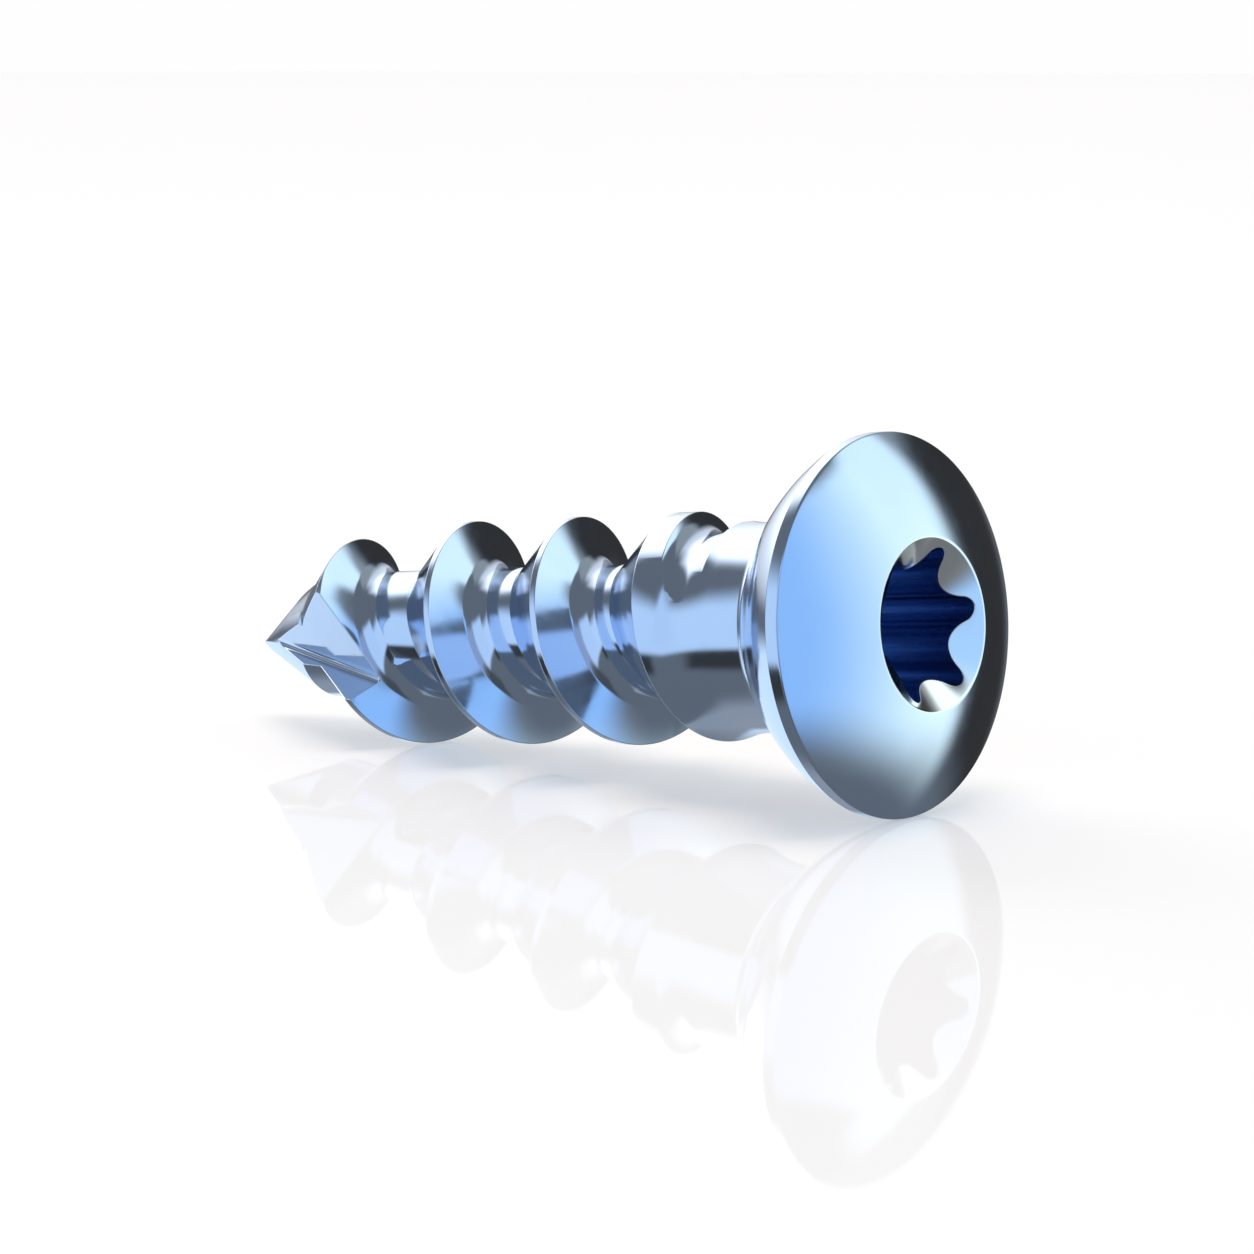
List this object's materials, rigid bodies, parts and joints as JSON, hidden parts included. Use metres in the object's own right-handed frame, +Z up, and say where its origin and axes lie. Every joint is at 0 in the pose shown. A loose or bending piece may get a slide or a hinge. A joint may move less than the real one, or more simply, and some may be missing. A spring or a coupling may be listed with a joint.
{
  "type": "orthopedic bone screw",
  "caption": "Short bone screw with a domed round head, a six-lobe drive socket, a coarse right-hand thread and a fluted self-cutting tip.",
  "frame": {"origin": "centre of the footprint, on the surface that the screw lies on", "axes": "+Z up, +X from the tip to the head, along the screw's length"},
  "size_m": [0.02, 0.008, 0.0081],
  "materials": {
    "anodised_titanium": "polished, light blue anodised titanium alloy"
  },
  "bodies": {
    "root": {"bone_screw": "anodised_titanium"}
  },
  "joints": []
}
